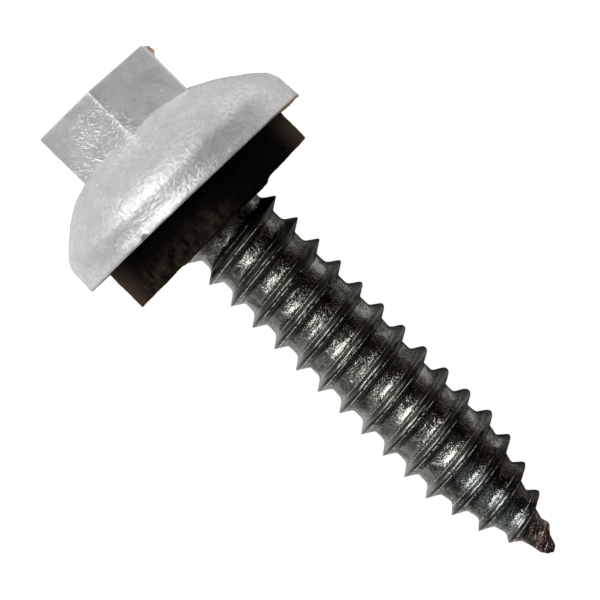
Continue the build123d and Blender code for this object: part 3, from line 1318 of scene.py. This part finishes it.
# Light of the walls that shiny surfaces mirror, by degrees round the screw from beside the camera
ROOM_WALLS = (
    (-180, (0.02, 0.02, 0.02)),
    (-146, (0.03, 0.025, 0.02)),
    (-130, (0.88, 0.86, 0.83)),
    (-92, (0.85, 0.85, 0.83)),
    (-78, (0.025, 0.015, 0.012)),
    (-44, (0.015, 0.010, 0.008)),
    (-30, (0.04, 0.03, 0.025)),
    (-4, (0.09, 0.085, 0.08)),
    (46, (0.22, 0.23, 0.22)),
    (84, (0.26, 0.27, 0.26)),
    (98, (0.52, 0.53, 0.50)),
    (130, (0.85, 0.84, 0.80)),
    (165, (0.85, 0.85, 0.83)),
    (180, (0.10, 0.10, 0.10)),
)

# The same below the screw
LOW_WALLS = (
    (-180, (0.30, 0.30, 0.29)),
    (-155, (0.20, 0.20, 0.19)),
    (-130, (0.70, 0.69, 0.66)),
    (-98, (0.70, 0.69, 0.66)),
    (-84, (0.09, 0.08, 0.08)),
    (-40, (0.09, 0.08, 0.08)),
    (0, (0.40, 0.40, 0.40)),
    (25, (0.70, 0.70, 0.68)),
    (180, (0.62, 0.62, 0.60)),
)


def add_softbox(name, azimuth, elevation, width, height, radiance, tint, shines):
    """A rectangular area light that faces the screw. Azimuth 0 is beside the camera.

    Its width and height are angles, as the screw sees them. A light that shines is mirrored by
    shiny surfaces and lights nothing else, and any other only lights dull ones.
    """
    start_clean()
    turn = math.radians(azimuth)
    rise = math.radians(elevation)
    away = Vector((math.sin(turn) * math.cos(rise), -math.cos(turn) * math.cos(rise), math.sin(rise)))
    middle = Vector((0, 0, (CAD_LOW.z + CAD_HIGH.z) / 2))
    bpy.ops.object.light_add(type="AREA", location=middle + away * LIGHT_DISTANCE)
    lamp = bpy.context.object
    lamp.name = name
    lamp.rotation_euler = away.to_track_quat("Z", "Y").to_euler()
    lamp.data.shape = "RECTANGLE"
    lamp.data.size = 2 * LIGHT_DISTANCE * math.tan(math.radians(width) / 2)
    lamp.data.size_y = 2 * LIGHT_DISTANCE * math.tan(math.radians(height) / 2)
    lamp.data.energy = radiance * math.pi * lamp.data.size * lamp.data.size_y
    lamp.data.color = tint
    lamp.visible_glossy = shines
    lamp.visible_diffuse = not shines


def add_walls(wiring, turn, stops):
    """Light that changes with the direction round the screw, given as (degrees, colour)."""
    ramp = wiring.node("ShaderNodeValToRGB", Fac=turn)
    elements = ramp.color_ramp.elements
    while len(elements) < len(stops):
        elements.new(0.5)
    for element, (degrees, light) in zip(elements, stops):
        element.position = degrees / 360 + 0.5
        element.color = (*light, 1)
    return ramp.outputs["Color"]


def choose_shader(wiring, chance, first, second):
    """The first shader, or the second where the chance is 1."""
    made = wiring.node("ShaderNodeMixShader", Fac=chance)
    wiring.feed(first, made.inputs[1])
    wiring.feed(second, made.inputs[2])
    return made.outputs["Shader"]


def paint_surroundings(scene):
    """White for the camera, an even glow for dull surfaces and light and dark walls for shiny ones."""
    world = bpy.data.worlds.new("studio_room")
    scene.world = world
    world.use_nodes = True
    world.cycles.sampling_method = "NONE"
    wiring = Wiring(world.node_tree)
    x, y, z = wiring.split(wiring.nodes.new("ShaderNodeTexCoord").outputs["Generated"])
    azimuth = wiring.calc("ARCTAN2", x, wiring.times(y, -1))
    turn = wiring.add(wiring.calc("DIVIDE", azimuth, math.tau), 0.5)
    walls = add_walls(wiring, turn, ROOM_WALLS)
    low_walls = add_walls(wiring, turn, LOW_WALLS)
    light = wiring.mixed(wiring.between(z, *CEILING), walls, CEILING_LIGHT)
    light = wiring.mixed(wiring.between(z, *LOW_PART), light, low_walls)
    glow = wiring.node("ShaderNodeBackground", Color=WHITE, Strength=ROOM_GLOW)
    room = wiring.node("ShaderNodeBackground", Color=light)
    backdrop = wiring.node("ShaderNodeBackground", Color=WHITE)
    rays = wiring.nodes.new("ShaderNodeLightPath").outputs
    lit = choose_shader(wiring, rays["Is Glossy Ray"], glow.outputs[0], room.outputs[0])
    seen = choose_shader(wiring, rays["Is Camera Ray"], lit, backdrop.outputs[0])
    wiring.feed(seen, wiring.nodes["World Output"].inputs["Surface"])


def lay_floor(studio, height):
    """A pale floor that the camera sees, and that neither lights nor shades the screw."""
    start_clean()
    bpy.ops.mesh.primitive_plane_add(size=studio.floor_size, location=(0, 0, height))
    floor = bpy.context.object
    floor.name = "paper_floor"
    material, _, shader = new_material("white_paper")
    shader.inputs["Base Color"].default_value = (*studio.paper, 1)
    shader.inputs["Roughness"].default_value = 1.0
    shader.inputs["Emission Color"].default_value = (*WHITE, 1)
    shader.inputs["Emission Strength"].default_value = PAPER_GLOW
    floor.data.materials.append(material)
    floor.visible_diffuse = False
    floor.visible_glossy = False
    floor.visible_shadow = False
    floor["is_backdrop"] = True


def place_camera(scene, studio):
    """A camera on the -Y side, rolled so that the screw lies aslant."""
    start_clean()
    eye = Vector((0, -studio.distance, studio.eye_height))
    aim = Vector((studio.aim_side, 0, studio.aim_height))
    look = aim - eye
    level = look.to_track_quat("-Z", "Y")
    bpy.ops.object.camera_add(location=eye)
    camera = bpy.context.object
    camera.rotation_mode = "QUATERNION"
    camera.rotation_quaternion = level @ Euler((0, 0, studio.roll)).to_quaternion()
    camera.data.sensor_width = SENSOR_WIDTH
    camera.data.lens = SENSOR_WIDTH * look.length / studio.frame_width
    camera.data.clip_start = CLIP_START
    camera.data.clip_end = CLIP_END
    scene.camera = camera


class SCREW_OT_studio(bpy.types.Operator):
    """Set the pale floor, the soft lights and the camera"""

    bl_idname = "screw.studio"
    bl_label = "Studio"

    def execute(self, context):
        studio = context.scene.screw_studio
        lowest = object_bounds()[0].z
        paint_surroundings(context.scene)
        lay_floor(studio, lowest)
        for softbox in SOFTBOXES:
            add_softbox(*softbox)
        place_camera(context.scene, studio)
        context.scene.view_settings.view_transform = "Standard"
        return {"FINISHED"}


# Panel and registration


class SCREW_PT_panel(bpy.types.Panel):
    """Lists the pieces of the screw"""

    bl_idname = "SCREW_PT_panel"
    bl_label = "Roofing screw"
    bl_space_type = "VIEW_3D"
    bl_region_type = "UI"
    bl_category = "Screw"

    def draw(self, context):
        for operator in OPERATORS:
            self.layout.operator(operator.bl_idname)


SETTINGS = {
    "screw_rod": RodSettings,
    "screw_head": HeadSettings,
    "screw_washer": WasherSettings,
    "screw_studio": StudioSettings,
}
OPERATORS = (SCREW_OT_rod, SCREW_OT_head, SCREW_OT_washer, SCREW_OT_studio)


def register():
    for settings in (*SETTINGS.values(), *OPERATORS, SCREW_PT_panel):
        bpy.utils.register_class(settings)
    for name, settings in SETTINGS.items():
        setattr(bpy.types.Scene, name, bpy.props.PointerProperty(type=settings))


def unregister():
    for name in SETTINGS:
        delattr(bpy.types.Scene, name)
    for settings in (SCREW_PT_panel, *OPERATORS, *SETTINGS.values()):
        bpy.utils.unregister_class(settings)


def main():
    register()
    bpy.ops.screw.rod()
    bpy.ops.screw.head()
    bpy.ops.screw.washer()
    bpy.ops.screw.studio()


if __name__ == "__main__":
    main()
